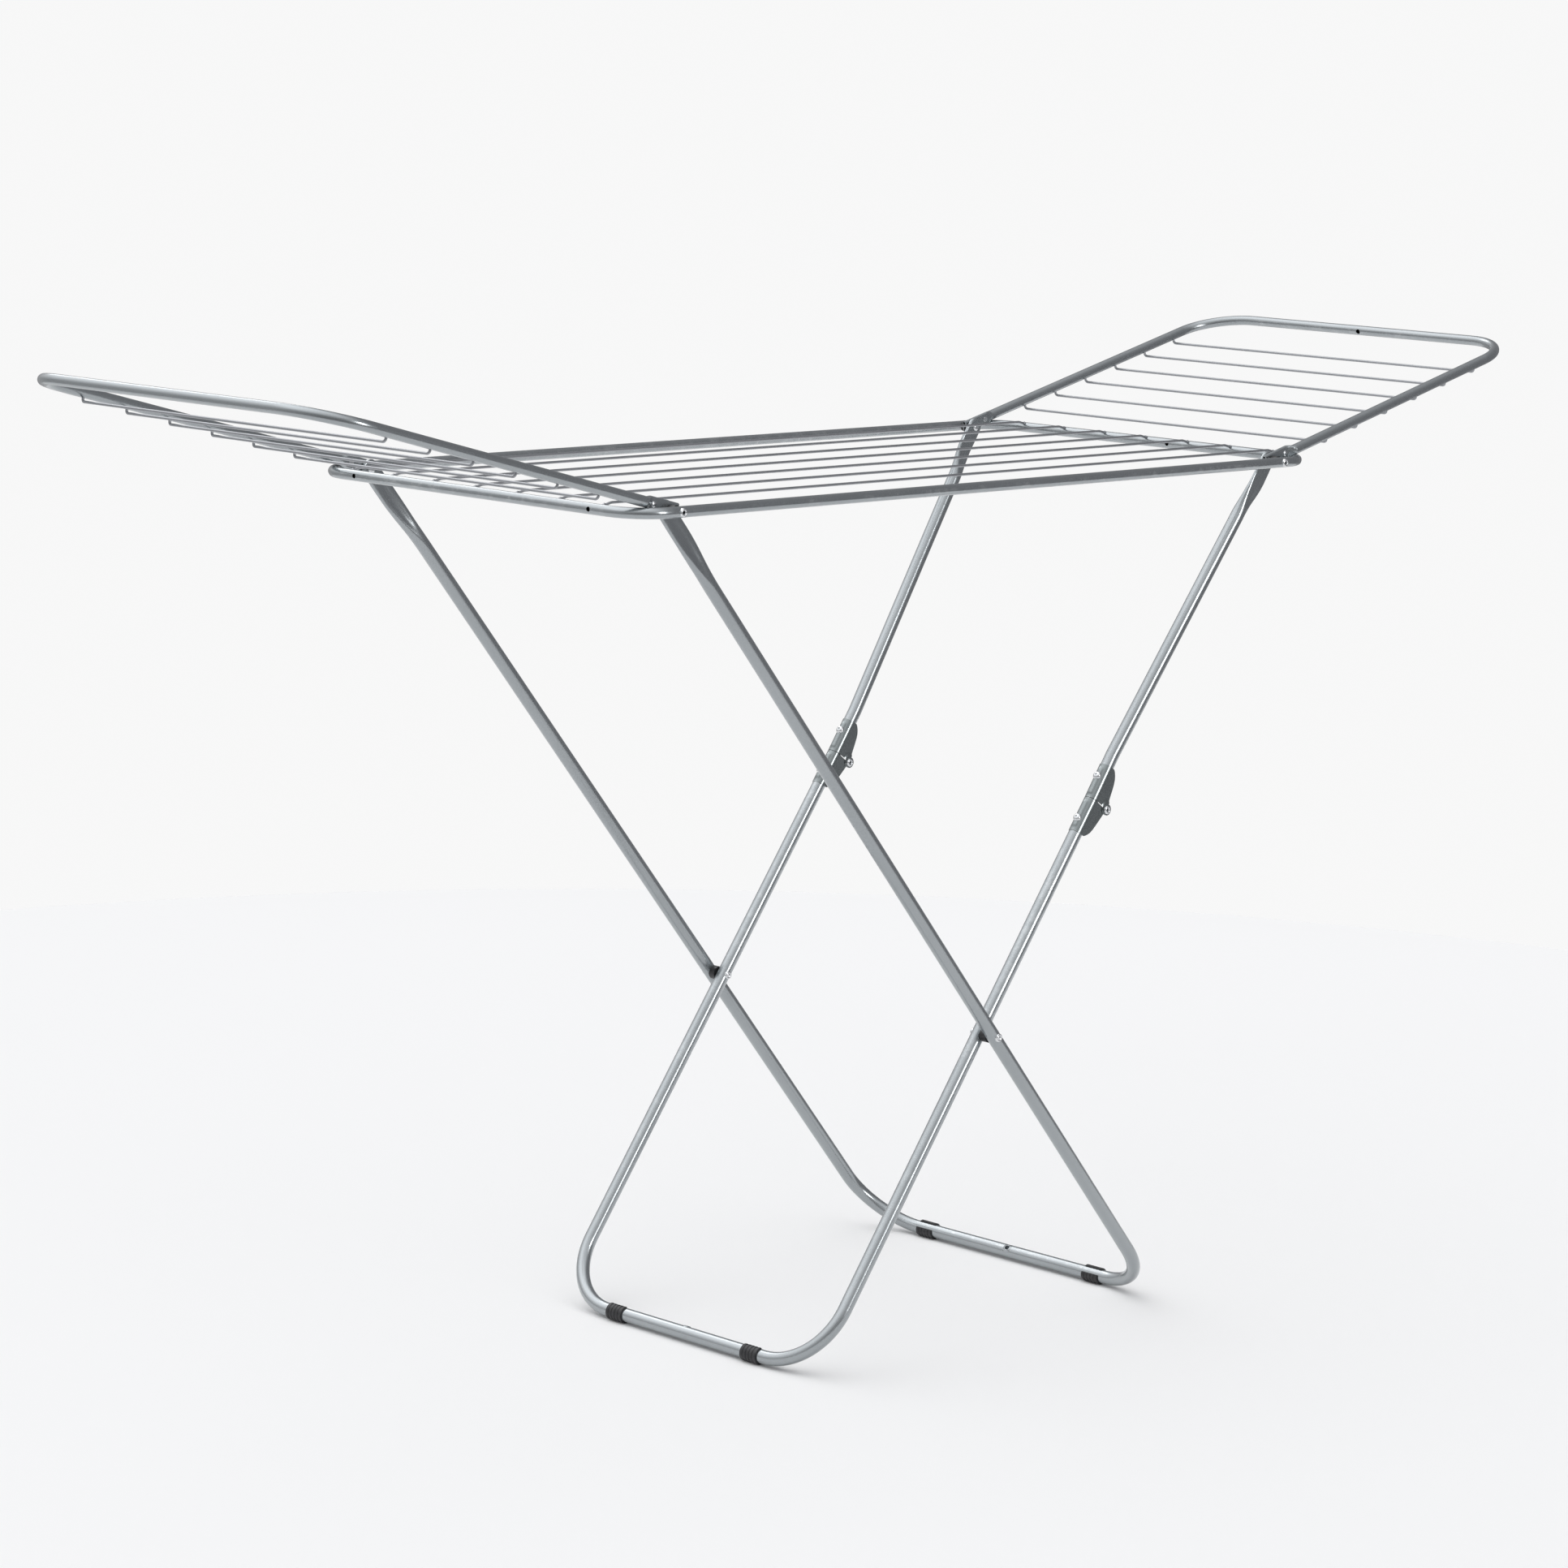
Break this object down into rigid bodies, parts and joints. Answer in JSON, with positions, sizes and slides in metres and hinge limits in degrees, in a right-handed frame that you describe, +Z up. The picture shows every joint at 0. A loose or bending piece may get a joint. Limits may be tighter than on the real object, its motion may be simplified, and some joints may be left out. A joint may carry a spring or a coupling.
{
  "type": "clothes drying rack",
  "caption": "Folding winged clothes airer: a wired tube frame on two crossed U legs, one with locking knee hinges, and two hinged end wings.",
  "frame": {"origin": "on the floor under the middle of the opened rack", "axes": "+X along the rack towards the kneed leg's hinge end, +Y across it, +Z up"},
  "size_m": [1.9334, 0.5216, 1.1167],
  "materials": {
    "painted_tube": "semi-gloss silver-grey metallic paint",
    "painted_wire": "silver-grey paint on wire",
    "painted_bracket": "grey metallic paint on pressed sheet",
    "zinc_fasteners": "zinc-plated rivets and pins",
    "plain_steel": "bare steel inside the frame tube",
    "black_plastic": "black moulded plastic"
  },
  "bodies": {
    "main_frame": {"frame_tube": "painted_tube", "frame_joint_spigot": "plain_steel", "frame_wire_1": "painted_wire", "frame_wire_2": "painted_wire", "frame_wire_3": "painted_wire", "frame_wire_4": "painted_wire", "frame_wire_5": "painted_wire", "frame_wire_6": "painted_wire", "frame_wire_7": "painted_wire", "hinge_rivets": "zinc_fasteners", "hinge_spacers": "black_plastic"},
    "left_wing": {"left_wing_tube": "painted_tube", "left_wing_wire_1": "painted_wire", "left_wing_wire_2": "painted_wire", "left_wing_wire_3": "painted_wire", "left_wing_wire_4": "painted_wire", "left_wing_wire_5": "painted_wire", "left_wing_wire_6": "painted_wire", "left_wing_arm_rivets": "zinc_fasteners"},
    "right_wing": {"right_wing_tube": "painted_tube", "right_wing_wire_1": "painted_wire", "right_wing_wire_2": "painted_wire", "right_wing_wire_3": "painted_wire", "right_wing_wire_4": "painted_wire", "right_wing_wire_5": "painted_wire", "right_wing_wire_6": "painted_wire", "right_wing_arm_rivets": "zinc_fasteners"},
    "leg_a": {"leg_a_tube": "painted_tube", "foot_a_near": "black_plastic", "foot_a_far": "black_plastic", "cross_rivets_outer": "zinc_fasteners", "cross_spacers": "black_plastic"},
    "leg_b_upper": {"leg_b_upper_arm_near": "painted_tube", "leg_b_upper_arm_far": "painted_tube", "knee_bracket_upper_near": "painted_bracket", "knee_bracket_upper_far": "painted_bracket", "knee_pin_near": "zinc_fasteners", "knee_pin_far": "zinc_fasteners", "knee_rivets_upper": "zinc_fasteners"},
    "leg_b_lower": {"leg_b_lower_tube": "painted_tube", "foot_b_near": "black_plastic", "foot_b_far": "black_plastic", "knee_bracket_lower_near": "painted_bracket", "knee_bracket_lower_far": "painted_bracket", "knee_rivets_lower": "zinc_fasteners", "cross_rivets_inner": "zinc_fasteners"}
  },
  "joints": [
    {"name": "leg_fold", "type": "hinge", "parent": "main_frame", "child": "leg_a", "pos_m": [-0.492, 0, 0.99], "axis": [0, -1, 0], "range_deg": [0, 45]},
    {"name": "upper_arm_swing", "type": "hinge", "parent": "main_frame", "child": "leg_b_upper", "pos_m": [0.492, 0, 0.99], "axis": [0, 1, 0], "range_deg": [0, 54.2]},
    {"name": "knee_bend", "type": "hinge", "parent": "leg_b_upper", "child": "leg_b_lower", "pos_m": [0.24732, 0, 0.59744], "axis": [0, -1, 0], "range_deg": [0, 178.2]},
    {"name": "left_wing_swing", "type": "hinge", "parent": "main_frame", "child": "left_wing", "pos_m": [-0.492, 0, 0.99], "axis": [0, 1, 0], "range_deg": [0, 163.5]},
    {"name": "right_wing_swing", "type": "hinge", "parent": "main_frame", "child": "right_wing", "pos_m": [0.492, 0, 0.99], "axis": [0, -1, 0], "range_deg": [0, 163.5]}
  ],
  "couplings": [
    {"joint": "upper_arm_swing", "follows": "leg_fold", "ratio": 1.2022},
    {"joint": "knee_bend", "follows": "leg_fold", "ratio": 3.9578}
  ]
}
